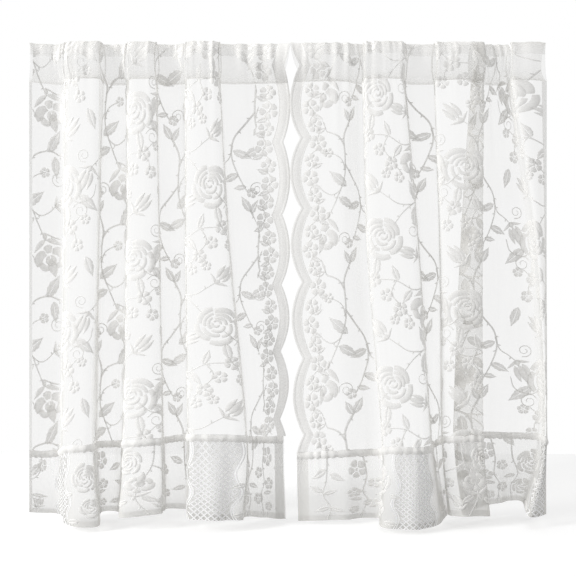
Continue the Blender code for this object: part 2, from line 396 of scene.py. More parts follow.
def scallop_u(side, drop):
    """Along the cloth, the edge's mean line plus how far the lobes and notches stand off it."""
    shape = SCALLOPS[side]
    down = np.clip(drop / SCALLOPED_DROP, 0.0, 1.0)
    lobe = shape.lobe_top + (shape.lobe_seam - shape.lobe_top) * down**PARTING
    notch = shape.notch_top + (shape.notch_seam - shape.notch_top) * down
    swell = np.abs(np.sin(np.pi * (drop - FIRST_NOTCH) / SCALLOP_REPEAT)) ** NOTCH_SHARPNESS
    x = notch + (lobe - notch) * swell
    turn = TURNS[side][-1]
    mean_x = np.interp(
        drop,
        [POCKET_DROP, MIDDLE_DROP, turn.seam_drop],
        [turn.x_pocket, turn.x_middle, turn.x_seam],
    )
    return drapes[side, "panel"].edge_u + (x - mean_x) * TOWARDS_EDGE[side]


def front_length(side, part):
    """How far down a piece its border runs: the pocket's front layer, or a whole other piece."""
    return POCKET_DROP if part == "pocket" else drapes[side, part].v[-1]


def edge_line(side, part, v):
    """u of a piece's leading edge: scalloped on the pocket and body, straight on the flounce."""
    if part == "pocket":
        return scallop_u(side, np.abs(POCKET_DROP - v))
    if part == "panel":
        return scallop_u(side, POCKET_DROP + v)
    return drapes[side, "flounce"].edge_u + 0.0 * v + (2.0 if side == "left" else 0.0)


print("left edge u at 0, 41, 98 mm down:", scallop_u("left", np.array([0.0, 41.0, 98.0])).round(1))

# %% [markdown]
# ## Making meshes
# A ground is a grid of quads. A figure is many small grids, one for each petal, leaf or length of
# stem, kept as flat points until they are laid on a drape. bmesh could build them face by face,
# but whole arrays handed over with foreach_set are many times faster. Each point also has a
# weight, from 0 for open net to 1 for the most tightly knitted yarn, which the finishes read.

# %% From arrays to a mesh object
def quads(rows, columns, start=0):
    """Indices of the quads of a grid, as an array of four columns."""
    corner = (np.arange(rows - 1)[:, None] * columns + np.arange(columns - 1)).reshape(-1) + start
    return np.stack([corner, corner + 1, corner + columns + 1, corner + columns], axis=1)


def mesh_object(name, points, normals, faces, uv, weight):
    """A smooth-shaded mesh with a UV map in metres of cloth and a weight attribute.

    A face that looks against the cloth's normals is turned round.
    """
    corners = points[faces]
    looks = np.cross(corners[:, 2] - corners[:, 0], corners[:, 3] - corners[:, 1])
    against = np.sum(looks * normals[faces].mean(axis=1), axis=1) < 0
    faces = np.where(against[:, None], faces[:, ::-1], faces)
    mesh = bpy.data.meshes.new(name)
    mesh.vertices.add(len(points))
    mesh.vertices.foreach_set("co", (points * MM).astype(np.float32).ravel())
    mesh.loops.add(faces.size)
    mesh.loops.foreach_set("vertex_index", faces.astype(np.int32).ravel())
    mesh.polygons.add(len(faces))
    mesh.polygons.foreach_set("loop_start", np.arange(0, faces.size, 4, dtype=np.int32))
    mesh.polygons.foreach_set("use_smooth", np.ones(len(faces), bool))
    layer = mesh.uv_layers.new(name="cloth")
    layer.data.foreach_set("uv", (uv[faces.ravel()] * MM).astype(np.float32).ravel())
    yarn = mesh.attributes.new("weight", "FLOAT", "POINT")
    yarn.data.foreach_set("value", weight.astype(np.float32))
    mesh.update(calc_edges=True)
    mesh.validate()
    return in_scene(name, mesh)


print("quads of a grid of 3 rows and 4 columns:", quads(3, 4).tolist())

# %% Figures, gathered up flat and laid on a drape
POCKET_PRESS = 0.35  # gathers on a rod press the raised figures flatter


class Figures:
    """Flat grids gathered up, to be laid on a drape together as one mesh."""

    def __init__(self):
        self.flat, self.faces, self.count = [], [], 0

    def add(self, u, v, lift, weight):
        """Adds one grid: four values or arrays, widened to the same rows and columns."""
        u, v, lift, weight = np.broadcast_arrays(u, v, lift, weight)
        self.faces.append(quads(*u.shape, start=self.count))
        self.flat.append(np.stack([u, v, lift, weight], axis=-1).reshape(-1, 4))
        self.count += u.size

    def laid(self, side, part, name, from_side=0.0, from_edge=0.0):
        """The mesh object of everything added, cut to its piece of cloth and laid on it.

        The body's design runs on above its top seam, so a pocket takes what is drawn at minus v.
        """
        drape = drapes[side, part]
        flat, faces = np.concatenate(self.flat), np.concatenate(self.faces)
        if part == "pocket" and flat[:, 1].min() < 0:
            flat = flat * (1, -1, 1, 1)
        low, high = 0.0, front_length(side, part)
        right = edge_line(side, part, flat[:, 1].clip(low, high)) - from_edge
        u, v = flat[:, 0].clip(from_side, right), flat[:, 1].clip(low, high)
        kept = ((u == flat[:, 0]) & (v == flat[:, 1]))[faces].any(axis=1)
        used, faces = np.unique(faces[kept], return_inverse=True)
        u, v, lift, weight = u[used], v[used], flat[used, 2], flat[used, 3]
        points, normals = lay(drape, u, v, lift * (POCKET_PRESS if part == "pocket" else 1.0))
        uv, faces = np.stack([u, v], axis=1), faces.reshape(-1, 4)
        return mesh_object(f"{side}_{part}_{name}", points, normals, faces, uv, weight)


def counted(draw, *sizes):
    """How many small grids one figure takes, and how many quads in all."""
    sample = Figures()
    draw(sample, *sizes)
    return len(sample.faces), sum(len(faces) for faces in sample.faces)


one_grid = counted(Figures.add, np.arange(3.0)[:, None], np.arange(4.0)[None, :], 0.5, 1.0)
print("a sample of 3 by 4 points, grids and quads:", one_grid)

# %% [markdown]
# ## The lace grounds
# The ground of each piece of cloth is a single thin surface. Real net has no inside, and a wall of
# two faces would be seen through twice. Its rows are even down the cloth, and its columns run from
# the outer side hem to the leading edge, so the last column is the scalloped edge itself.

# %% The three grounds of each panel
def ground(side, part, columns, rows):
    """A grid over a whole piece of cloth, laid on its drape."""
    drape = drapes[side, part]
    v = np.linspace(0.0, drape.v[-1], rows)[:, None]
    edge = edge_line(side, part, v)
    share = np.linspace(0.0, 1.0, columns)[None, :]
    u = share * edge
    uv = np.stack([u, v + 0 * u], axis=-1).reshape(-1, 2)
    points, normals = lay(drape, uv[:, 0], uv[:, 1])
    faces, open_net = quads(rows, columns), 0 * uv[:, 0]
    return mesh_object(f"{side}_{part}_ground", points, normals, faces, uv, open_net)


GROUND_GRIDS = {"pocket": (380, 61), "panel": (330, 130), "flounce": (330, 45)}
grounds = {}
for side in TURNS:
    for part, (columns, rows) in GROUND_GRIDS.items():
        grounds[side, part] = ground(side, part, columns, rows)
for key, thing in grounds.items():
    print(key, "quads:", len(thing.data.polygons))

# %% [markdown]
# ## Drawing the figures
# The figures are roses, buds, florets and toothed leaves on thorned stems, knitted so densely
# that they stand a little proud. A shader pattern could colour them in, but only a mesh gives
# them edges that catch the light. They are drawn flat, petal by petal, with fine open lines
# between the petals where the net shows through. Roses are 34 to 66 mm across, florets 18 to
# 29 mm, leaves 17 to 40 mm, and stems under 3.5 mm wide.

# %% Petals
OPEN_LINE = 1.7  # mm of net left between neighbouring petals
PADDING = 0.85  # mm that the middle of a petal stands above its rim
RIM_LIFT = 0.25  # mm that the rim stands off the ground


def turned(at, turn, along, across):
    """Lengths along and across a direction, turned by turn degrees from u towards v."""
    c, s = np.cos(np.radians(turn)), np.sin(np.radians(turn))
    return at[0] + along * c - across * s, at[1] + along * s + across * c


def fan(figures, at, turn, half, inner, outer, dome=0.16, notch=0.0, twist=0.0, line=OPEN_LINE):
    """A petal about a centre, with s from its root to its rim and t from -1 to 1 across it.

    radius = inner + (outer - inner) * (s * (1 - dome * t**2 - notch * (1 - |t|)**2) + twist * t)
    angle = turn + t * (half - half the open line at that radius)
    lift = the rim's + the padding * (1 - t**4) * (1 - (2 * s - 1)**4), low along every rim
    """
    s, t = np.linspace(0, 1, 5)[:, None], np.linspace(-1, 1, 5 if half < 25 else 9)[None, :]
    rim = 1 - dome * t**2 - notch * (1 - np.abs(t)) ** 2
    radius = inner + (outer - inner) * (s * rim + twist * t)
    angle = t * np.maximum(np.radians(half) - 0.5 * line / np.maximum(radius, 1.0), 0.05)
    u, v = turned(at, turn, radius * np.cos(angle), radius * np.sin(angle))
    weight = 0.8 + 0.2 * np.maximum(np.abs(t) ** 4, s**5)
    figures.add(u, v, RIM_LIFT + PADDING * (1 - t**4) * (1 - (2 * s - 1) ** 4), weight)


def almond(figures, at, turn, length, width, bend=0.0, grid=(7, 5)):
    """A pointed petal whose middle line bends by bend * s**2.

    half width = width / 2 * sin(pi * s**0.8)**0.8
    lift = the rim's + 0.8 * the padding * (1 - t**4)
    """
    s, t = np.linspace(0, 1, grid[0])[:, None], np.linspace(-1, 1, grid[1])[None, :]
    half = 0.5 * width * np.sin(np.pi * s**0.8).clip(0.04) ** 0.8
    u, v = turned(at, turn, length * s, half * t + bend * s**2)
    figures.add(u, v, RIM_LIFT + 0.8 * PADDING * (1 - t**4), 0.8 + 0.2 * t**4)


print("a floret's petal, grids and quads:", counted(fan, (0.0, 0.0), 0.0, 36, 3.0, 12.0))


# %% Leaves
def leaf(figures, at, turn, length, width=None, bend=0.0, teeth=5):
    """A toothed leaf in two halves, either side of an open midrib.

    half width = width / 2 * sin(pi * s**0.75)**1.1 * (0.84 + 0.32 * the fraction of teeth * s)
    lift = the rim's + 0.8 * the padding * (1 - (2 * t - 1)**4), lower between the veins
    """
    width = width or 0.4 * length
    s, t = np.linspace(0, 1, 13)[:, None], np.linspace(0, 1, 4)[None, :]
    edge = 0.84 + 0.32 * np.mod(teeth * s, 1.0)
    half = 0.5 * width * np.sin(np.pi * s**0.75).clip(0.02) ** 1.1 * edge
    veins = 0.5 + 0.5 * np.cos(2 * np.pi * teeth * (s - 0.14 * t))
    for hand in (-1, 1):
        across = hand * (0.24 * OPEN_LINE * np.sin(np.pi * s) + t * half) + bend * s**2
        u, v = turned(at, turn, length * s, across)
        lift = RIM_LIFT + 0.8 * PADDING * (1 - (2 * t - 1) ** 4) * (0.7 + 0.3 * veins)
        figures.add(u, v, lift, 0.62 + 0.38 * np.maximum(t**3, veins))


print("a leaf, grids and quads:", counted(leaf, (0.0, 0.0), 0.0, 30.0))


# %% Florets and open roses
def floret(figures, at, turn, size):
    """Five notched petals round a small disc."""
    inner, outer, line = 0.13 * size, 0.5 * size, 0.05 * size
    for number in range(5):
        fan(figures, at, turn + 72 * number, 36, inner, outer, 0.34, 0.14, 0.0, line)
    fan(figures, at, turn, 180, 0.0, 0.08 * size, 0.0)


def rose(figures, at, turn, size):
    """Petals in turning rings of five, four and three round a closed heart, the rings off centre.

    Each ring gives its petals, inner and outer radius, how far off centre it is, and its start.
    """
    r = 0.5 * size
    rings = (
        (5, 0.74, 1.04, 0.16, 20),
        (4, 0.5, 0.7, 0.1, 65),
        (3, 0.28, 0.46, 0.05, 10),
        (2, 0.1, 0.24, 0, 50),
    )
    for petals, inner, outer, lower, start in rings:
        centre = turned(at, turn, lower * r, 0.0)
        for number in range(petals):
            heading, half = turn + start + 360 / petals * number, 180 / petals
            fan(figures, centre, heading, half, inner * r, outer * r, 0.3, 0.0, 0.22)


print("an open rose, grids and quads:", counted(rose, (0.0, 0.0), 0.0, 66.0))


# %% Roses from the side, and buds
def side_rose(figures, at, turn, size):
    """A rose from the side: a closed heart in a cup of wrapping petals, over curling sepals."""
    cup = turned(at, turn, 0.55 * size, 0.0)
    almond(figures, turned(at, turn, 0.5 * size, 0.0), turn, 0.5 * size, 0.26 * size)
    for hand in (-1, 1):
        heading = turn + 180 - 62 * hand
        fan(figures, cup, turn + 58 * hand, 34, 0.18 * size, 0.36 * size, 0.3, 0.0, 0.2 * hand)
        fan(figures, cup, heading, 42, 0.2 * size, 0.44 * size, 0.3, 0.0, -0.2 * hand)
        almond(figures, at, turn + 72 * hand, 0.46 * size, 0.14 * size, -0.12 * hand * size)
    fan(figures, cup, turn + 180, 22, 0.2 * size, 0.42 * size, 0.2)
    fan(figures, cup, turn, 180, 0.0, 0.16 * size, 0.1)
    almond(figures, at, turn + 180, 0.2 * size, 0.12 * size)


def bud(figures, at, turn, size):
    """A closed bud: a heart, two wrapping petals and two sepals that curl away."""
    root = turned(at, turn, 0.2 * size, 0.0)
    almond(figures, root, turn, 0.8 * size, 0.24 * size)
    for hand in (-1, 1):
        side = turned(root, turn, 0.0, hand * 0.12 * size)
        almond(figures, side, turn + 14 * hand, 0.66 * size, 0.19 * size, -0.1 * hand * size)
        almond(figures, at, turn + 46 * hand, 0.44 * size, 0.12 * size, 0.12 * hand * size)
    almond(figures, at, turn, 0.24 * size, 0.22 * size)


print("a bud, grids and quads:", counted(bud, (0.0, 0.0), 0.0, 42.0))


# %% Stems and tendrils
FINE_STEM = 1.8  # mm wide, for tendrils and the border's wavy stem


def stem(figures, points, width, thorns=True):
    """A ribbon on a smooth curve through points, tapering to half its width, with thorns."""
    points = np.array(points, float)
    knots = np.arange(float(len(points)))
    rough = spline(knots, points, np.linspace(0, knots[-1], 200))
    length = np.concatenate([[0.0], np.cumsum(np.hypot(*np.diff(rough, axis=0).T))])
    count = max(int(length[-1] / 3.0), 4)
    line = np.stack([np.interp(np.linspace(0, length[-1], count), length, c) for c in rough.T], 1)
    run = np.gradient(line, axis=0)
    run /= np.linalg.norm(run, axis=1, keepdims=True)
    t = np.linspace(-1, 1, 3)[None, :]
    half = 0.5 * width * np.linspace(1.0, 0.6, count)[:, None]
    u = line[:, :1] - run[:, 1:] * half * t
    v = line[:, 1:] + run[:, :1] * half * t
    figures.add(u, v, 0.3 + 0.7 * PADDING * (1 - t**2), 0.95)
    if thorns:
        for place in range(4, count - 3, 8):
            hand = 1 if place % 16 < 8 else -1
            heading = np.degrees(np.arctan2(run[place, 1], run[place, 0]))
            almond(figures, line[place], heading + 62 * hand, 5.0, 2.4, 0.0, (4, 3))


def tendril(figures, at, turn, reach, hand):
    """A spiral of one and a half turns: radius = reach / 2 * (1 - 0.75 * s)."""
    s = np.linspace(0.0, 1.0, 12)
    radius, angle = 0.5 * reach * (1 - 0.75 * s), hand * 3 * np.pi * s + np.pi
    u, v = turned(at, turn, 0.5 * reach + radius * np.cos(angle), radius * np.sin(angle))
    stem(figures, np.stack([u, v], axis=1), FINE_STEM, thorns=False)


thorns = counted(stem, ((0.0, 0.0), (120.0, 0.0)), 3.0)[0] - 1
print("thorns on 120 mm of stem:", thorns)

# %% [markdown]
# ## One floral repeat
# The body's figures are one repeat, 210 mm wide and 228 mm long, or two scallops. A main stem
# wanders down it to a rose seen from the side, and sprays branch to either side. Flowers could be
# scattered at random, but lace is knitted from one chart over and over, and so is this. Every
# second column is dropped by half a repeat, so the roses don't stand in rows.

# %% The repeat, in flat millimetres
REPEAT_WIDTH, REPEAT_LENGTH = 210.0, 228.0
Motif = namedtuple("Motif", "draw across down turn size")
SPRAY = (
    Motif(rose, 148, 82, 60, 66),
    Motif(side_rose, 78, 168, 74, 60),
    Motif(bud, 150, 14, -48, 42),
    Motif(bud, -12, 170, 112, 42),
    Motif(bud, 92, 114, -16, 36),
    Motif(floret, 166, 150, 10, 26),
    Motif(floret, 148, 174, 40, 23),
    Motif(floret, 178, 178, 25, 22),
    Motif(floret, 190, 138, 55, 18),
    Motif(floret, 128, 196, 5, 25),
    Motif(floret, 116, 218, 30, 20),
    Motif(floret, 138, 212, 50, 18),
    Motif(floret, 76, 62, 35, 18),
    Motif(floret, 42, 206, 0, 18),
    Motif(leaf, 82, 30, -62, 40),
    Motif(leaf, 92, 36, 84, 34),
    Motif(leaf, 46, 116, -40, 38),
    Motif(leaf, 60, 134, 152, 34),
    Motif(leaf, 16, 140, 24, 30),
    Motif(leaf, 22, 176, 150, 28),
    Motif(leaf, 108, 166, 52, 27),
    Motif(leaf, 128, 152, -70, 26),
    Motif(leaf, 178, 100, 38, 40),
    Motif(leaf, 158, 116, 80, 32),
    Motif(leaf, 192, 196, 70, 34),
    Motif(leaf, 39, 8, -118, 28),
    Motif(leaf, 40, 10, -62, 24),
    Motif(leaf, 34, 196, 170, 20),
)
Stem = namedtuple("Stem", "width points")
STEMS = (
    Stem(3.4, ((38, 4), (51, 34), (49, 68), (50, 100), (62, 134), (77, 168))),
    Stem(3.1, ((49, 80), (34, 100), (18, 122), (14, 150), (24, 182), (36, 206))),
    Stem(3.1, ((50, 50), (62, 34), (86, 28), (110, 42), (128, 62))),
    Stem(2.5, ((98, 33), (120, 32), (136, 22), (149, 13))),
    Stem(2.5, ((56, 122), (70, 130), (84, 124), (96, 112))),
    Stem(2.5, ((16, 132), (10, 152), (-2, 162), (-12, 172))),
    Stem(2.5, ((76, 158), (104, 166), (132, 152), (164, 148), (182, 134))),
    Stem(2.4, ((132, 152), (140, 172), (126, 192), (110, 214))),
    Stem(2.3, ((126, 192), (136, 202), (138, 212))),
    Stem(2.3, ((164, 148), (174, 160), (176, 174))),
    Stem(2.4, ((49, 90), (54, 74), (64, 66), (76, 62))),
    Stem(2.4, ((158, 96), (178, 112), (200, 104), (206, 84))),
)
Tendril = namedtuple("Tendril", "across down turn reach hand")
TENDRILS = (
    Tendril(170, 120, 20, 26, 1),
    Tendril(100, 62, 96, 24, -1),
    Tendril(190, 50, 250, 22, 1),
    Tendril(60, 204, 200, 24, -1),
)


def draw_repeat(figures, u0, v0):
    """The repeat drawn once with its corner at u0, v0."""
    for motif in SPRAY:
        motif.draw(figures, (u0 + motif.across, v0 + motif.down), motif.turn, motif.size)
    for branch in STEMS:
        stem(figures, np.array(branch.points) + (u0, v0), branch.width)
    for curl in TENDRILS:
        tendril(figures, (u0 + curl.across, v0 + curl.down), curl.turn, curl.reach, curl.hand)


print("in one repeat:", len(SPRAY), "flowers and leaves,", len(STEMS), "stems")

# %% The body's figures, which run on through the pocket
FIRST_REPEAT = {"left": (-52.0, -150.0), "right": (-110.0, -60.0)}  # where the cloth was cut
BORDER_COLUMN = 45.0  # mm kept clear along the scalloped edge for its own flowers
SIDE_HEM = 4.5
figured_cloth = {}
for side, (first_u, first_v) in FIRST_REPEAT.items():
    figured_cloth[side] = Figures()
    for column in range(5):
        for row in range(-1, 4):
            half_drop = 0.5 * REPEAT_LENGTH * (column % 2)
            v0 = first_v + REPEAT_LENGTH * row + half_drop
            draw_repeat(figured_cloth[side], first_u + REPEAT_WIDTH * column, v0)
    print(side, "points drawn flat:", figured_cloth[side].count)

pieces = {}
for side, figures in figured_cloth.items():
    for part in ("panel", "pocket"):
        laid = figures.laid(side, part, "figures", SIDE_HEM, BORDER_COLUMN)
        pieces[side, part, "figures"] = laid

# %% [markdown]
# ## The scalloped border
# A dense tape follows the scallops, tightest along its rim, with a thin cord on its inner side.
# It could be one strip with a pattern. Three strips along the same edge line let each be knitted
# as tightly as it is. Beside them stands a column of florets, four to each scallop, joined by a
# fine wavy stem.

# %% Tape, cord and border flowers
EDGE_WIDTH, TAPE_WIDTH, CORD_WIDTH = 4.5, 15.5, 1.5
FLORETS_PER_SCALLOP = 4
FLORET_INSET = 31.0  # mm from the leading edge to the florets' centres
LARGE_FLORET, SMALL_FLORET, BORDER_LEAF = 29.0, 25.0, 17.0


def band_along_edge(figures, side, part, near, far, weight, columns=5):
    """A strip between two distances in from the leading edge, the full length of the piece."""
    length = front_length(side, part)
    v = np.linspace(0.0, length, int(length / 3.0))[:, None]
    share = np.linspace(0.0, 1.0, columns)[None, :]
    edge = edge_line(side, part, v)
    swell = 0.35 + 0.4 * np.sin(np.pi * share)
    figures.add(edge - far + (far - near) * share, v, swell, weight)


def border_flowers(figures, side, part):
    """Florets of two sizes along the border, each with a small leaf, and their wavy stem."""
    length, spacing = front_length(side, part), SCALLOP_REPEAT / FLORETS_PER_SCALLOP
    for number in range(int(length / spacing)):
        v = (number + 0.5) * spacing
        u = float(edge_line(side, part, np.array(v))) - FLORET_INSET
        size, heading = (LARGE_FLORET, 160) if number % 2 else (SMALL_FLORET, 205)
        floret(figures, (u, v), 31.0 * number, size)
        leaf(figures, (u - 2.0, v + 0.42 * spacing), heading, BORDER_LEAF, 8.0, 0.0, 4)
    v = np.linspace(2.0, length - 2.0, int(length / 6.0))
    u = edge_line(side, part, v) - FLORET_INSET + 4.5 * np.sin(2 * np.pi * v / spacing)
    stem(figures, np.stack([u, v], axis=1), FINE_STEM, thorns=False)


for side in TURNS:
    for part in ("pocket", "panel"):
        border = Figures()
        band_along_edge(border, side, part, 0.0, EDGE_WIDTH, 1.0)
        band_along_edge(border, side, part, EDGE_WIDTH, TAPE_WIDTH, 0.85)
        band_along_edge(border, side, part, TAPE_WIDTH, TAPE_WIDTH + CORD_WIDTH, 1.0, 3)
        border_flowers(border, side, part)
        pieces[side, part, "border"] = border.laid(side, part, "border")
        print(side, part, "border points:", border.count)

# %% [markdown]
# ## The flounce
# The flounce has its own repeat, 424 mm wide: a trellis panel between curved double outlines, then
# columns of roses, florets and leafy stems. A checked texture could stand for the trellis. Real
# strips of raised yarn over a low close filling give its lines relief, and the filling's grey
# colour is painted shade, so the lines look paler than its cells.

# %% The flounce's flowers, in flat millimetres
FLOUNCE_SPRAY = (
    Motif(rose, 90, 36, 80, 42),
    Motif(rose, 96, 88, 70, 36),
    Motif(leaf, 116, 12, -30, 24),
    Motif(leaf, 70, 62, 160, 20),
    Motif(leaf, 112, 64, 14, 22),
    Motif(leaf, 76, 114, 168, 22),
    Motif(floret, 156, 22, 10, 26),
    Motif(floret, 134, 44, 30, 20),
    Motif(floret, 160, 62, 50, 24),
    Motif(floret, 136, 90, 20, 24),
    Motif(floret, 160, 104, 0, 18),
    Motif(leaf, 148, 80, -10, 20),
    Motif(leaf, 200, 20, 26, 26),
    Motif(leaf, 194, 26, 152, 24),
    Motif(leaf, 206, 58, -34, 26),
    Motif(leaf, 206, 62, 196, 24),
    Motif(leaf, 196, 96, 20, 26),
    Motif(leaf, 196, 98, 158, 24),
    Motif(side_rose, 262, 84, -78, 46),
    Motif(rose, 250, 24, 20, 34),
    Motif(leaf, 270, 86, 34, 26),
    Motif(leaf, 254, 92, 146, 24),
    Motif(bud, 290, 112, -64, 30),
    Motif(floret, 318, 20, 40, 22),
    Motif(floret, 330, 44, 15, 26),
    Motif(floret, 308, 62, 60, 20),
    Motif(floret, 334, 92, 25, 24),
    Motif(leaf, 318, 78, 130, 22),
    Motif(leaf, 372, 30, -40, 28),
    Motif(leaf, 366, 34, 206, 24),
    Motif(leaf, 376, 74, 14, 28),
    Motif(leaf, 372, 78, 164, 26),
    Motif(bud, 384, 112, -80, 32),
    Motif(floret, 394, 16, 30, 18),
)
FLOUNCE_STEMS = (
    Stem(2.6, ((120, 0), (118, 30), (108, 62), (118, 92), (114, 122))),
    Stem(2.4, ((150, 0), (144, 30), (148, 60), (142, 84), (150, 122))),
    Stem(2.8, ((198, 0), (200, 34), (206, 62), (194, 98), (200, 122))),
    Stem(2.6, ((286, 0), (282, 30), (266, 62), (264, 92), (280, 122))),
    Stem(2.4, ((282, 30), (304, 40), (326, 44))),
    Stem(2.4, ((312, 64), (324, 72), (332, 90), (326, 122))),
    Stem(2.8, ((368, 0), (370, 34), (376, 76), (384, 122))),
    Stem(2.2, ((371, 40), (386, 30), (392, 18))),
)
print("in one flounce repeat:", len(FLOUNCE_SPRAY), "flowers and leaves")

# %% Trellis panels
TRELLIS_WIDTH, TRELLIS_PITCH, TRELLIS_YARN = 58.0, 6.4, 2.0
OUTLINE_WAVE, OUTLINE_GAP, OUTLINE_YARN = 5.0, 3.4, 1.6
STEP_ALONG = TRELLIS_PITCH * np.sqrt(2)  # from one slanting yarn to the next, along u


def outline_u(u0, v):
    """The trellis panel's curved side: a wave 5 mm each way, twice in the flounce's length."""
    return u0 + OUTLINE_WAVE * np.sin(4 * np.pi * v / FLOUNCE_LENGTH)


def trellis(figures, u0):
    """Two sets of slanting yarns, cut off at the curved outlines, which are doubled."""
    reach = int((FLOUNCE_LENGTH + TRELLIS_WIDTH) / STEP_ALONG) + 2
    v = np.linspace(0.0, FLOUNCE_LENGTH, 33)[:, None]
    left, right = outline_u(u0, v), outline_u(u0 + TRELLIS_WIDTH, v)
    strip = np.array([-0.5, 0.5])[None, :]
    yarn = strip * TRELLIS_YARN * np.sqrt(2)
    for number in range(-reach, reach):
        for slope in (-1, 1):
            start = u0 + 0.5 * TRELLIS_WIDTH + number * STEP_ALONG
            u = start + slope * (v - 0.5 * FLOUNCE_LENGTH) + yarn
            inside = ((u > left) & (u < right)).all(axis=1)
            if inside.sum() > 1:
                first, last = np.flatnonzero(inside)[[0, -1]]
                run = slice(first, last + 1)
                figures.add(u[run], v[run], 0.5, 1.0)
    for away in (0.0, OUTLINE_GAP):
        for line, hand in ((left, -1), (right, 1)):
            figures.add(line + hand * away + strip * OUTLINE_YARN, v, 0.4, 1.0)


def cell_filling(figures, u0):
    """The close net inside a trellis panel's cells, a sheet between its curved outlines."""
    v = np.linspace(0.0, FLOUNCE_LENGTH, 45)[:, None]
    share = np.linspace(0.0, 1.0, 25)[None, :]
    left, right = outline_u(u0, v), outline_u(u0 + TRELLIS_WIDTH, v)
    figures.add(left + (right - left) * share, v, 0.1, 0.75)


print("yarns in a trellis panel, and quads:", counted(trellis, 0.0))

# %% The flounce's figures, laid
FLOUNCE_REPEAT = 424.0
FIRST_TRELLIS = {"left": 52.0, "right": -24.0}  # where the cloth was cut
FLOUNCE_CLEAR = 20.0  # mm kept clear along the leading side, for its hem
for side in TURNS:
    spray, lattice, cells = Figures(), Figures(), Figures()
    for column in range(-1, 2):
        u0 = FLOUNCE_REPEAT * column + FIRST_TRELLIS[side]
        trellis(lattice, u0)
        cell_filling(cells, u0)
        for motif in FLOUNCE_SPRAY:
            motif.draw(spray, (u0 + motif.across, motif.down), motif.turn, motif.size)
        for branch in FLOUNCE_STEMS:
            stem(spray, np.array(branch.points) + (u0, 0.0), branch.width)
    for name, figures in (("figures", spray), ("trellis", lattice), ("cells", cells)):
        laid = figures.laid(side, "flounce", name, SIDE_HEM, FLOUNCE_CLEAR)
        pieces[side, "flounce", name] = laid
        print(side, "flounce", name, "points drawn flat:", figures.count)

# %% [markdown]
# ## Hems, the gathered seam and the top band
# A hem is the cloth turned back on itself, so it shows as a second layer just behind the first.
# A Solidify modifier would double the whole piece, so the turned-back strips are meshes of their
# own. The top edge of the pocket has a turned-in band as well, a second layer that also darkens
# the heading's top as painted shade, for the rod's shadow inside the pocket, and a line of
# stitches closes its foot. The flounce's gathered allowance is a rounded ridge.

# %% Second layers and stitches
SECOND_LAYER = -0.8
FLOUNCE_FOOT, FLOUNCE_SIDE, SEAM_RIDGE, TOP_BAND = 9.5, 19.0, 8.0, 25.0
STITCH_PITCH, STITCH_LENGTH = 3.6, 2.3
BAND_SHORT, STITCHES_SHORT = 14.0, 20.0  # mm that these stop before the leading edge


def layer(figures, u, v, lift, weight):
    """One strip of cloth over the given ranges of u and v, about every 2 mm."""
    across = np.linspace(*u, max(int(abs(u[1] - u[0]) / 2.0), 3))[None, :]
    down = np.linspace(*v, max(int(abs(v[1] - v[0]) / 2.5), 4))[:, None]
    figures.add(across, down, lift, weight)


def seam_ridge(figures, edge_u):
    """The bunched seam: a rounded ridge, lift = 2 * sin(pi * s), whose height down it wanders."""
    s, u = np.linspace(0, 1, 7)[:, None], np.linspace(0, edge_u, 330)[None, :]
    wander = 0.8 * gathers(u, 23.0, 0.9)
    v = SEAM_RIDGE * s * (0.88 + 0.1 * gathers(u, 9.0, 2.2)) + np.maximum(wander, 0.0) * (1 - s)
    figures.add(u, v, 2.0 * np.sin(np.pi * s) + 0.4, 1.0)


for side in TURNS:
    edge_u = drapes[side, "flounce"].edge_u
    hems = Figures()
    layer(hems, (0, edge_u), (FLOUNCE_LENGTH - FLOUNCE_FOOT, FLOUNCE_LENGTH), SECOND_LAYER, 0.35)
    layer(hems, (0, SIDE_HEM), (0, FLOUNCE_LENGTH), SECOND_LAYER, 0.5)
    layer(hems, (edge_u - FLOUNCE_SIDE, edge_u), (0, FLOUNCE_LENGTH), SECOND_LAYER, 0.6)
    seam_ridge(hems, edge_u)
    pieces[side, "flounce", "hems"] = hems.laid(side, "flounce", "hems")
    side_hem = Figures()
    layer(side_hem, (0, SIDE_HEM), (0, BODY_LENGTH), SECOND_LAYER, 0.2)
    pieces[side, "panel", "hems"] = side_hem.laid(side, "panel", "hems")
    top = Figures()
    pocket_edge = drapes[side, "pocket"].edge_u
    # top band: a turned-in second layer over the pocket's top 25 mm, partly painted shade for the
    # rod's shadow
    band = (POCKET_DROP - TOP_BAND, POCKET_DROP - 1.0)
    layer(top, (0, pocket_edge - BAND_SHORT), band, SECOND_LAYER, 0.0)
    for place in np.arange(6.0, pocket_edge - STITCHES_SHORT, STITCH_PITCH):
        layer(top, (place, place + STITCH_LENGTH), (1.2, 2.0), 0.5, 0.2)
    pieces[side, "pocket", "hems"] = top.laid(side, "pocket", "hems")

for key, thing in pieces.items():
    print(thing.name, "triangles:", 2 * len(thing.data.polygons))

# %% [markdown]
# ## Finishes
# The curtain is warp-knitted polyester lace, bleached white. Fine smooth filament yarn gives a
# matt face with a faint sheen, and lets much of the light through. The open net of the ground
# shows what is behind it between the yarns, more when seen square on than at a slant. The holes
# are far too small to model, so each finish mixes yarn with a clear shader instead, and the mix
# is the share of the view that the yarn fills.

# %% Colour and node helpers
def linear(code):
    """An sRGB hex colour as linear red, green, blue and alpha."""
    srgb = np.array([int(code[i : i + 2], 16) for i in (1, 3, 5)]) / 255.0
    rgb = np.where(srgb <= 0.04045, srgb / 12.92, ((srgb + 0.055) / 1.055) ** 2.4)
    return (*rgb.tolist(), 1.0)


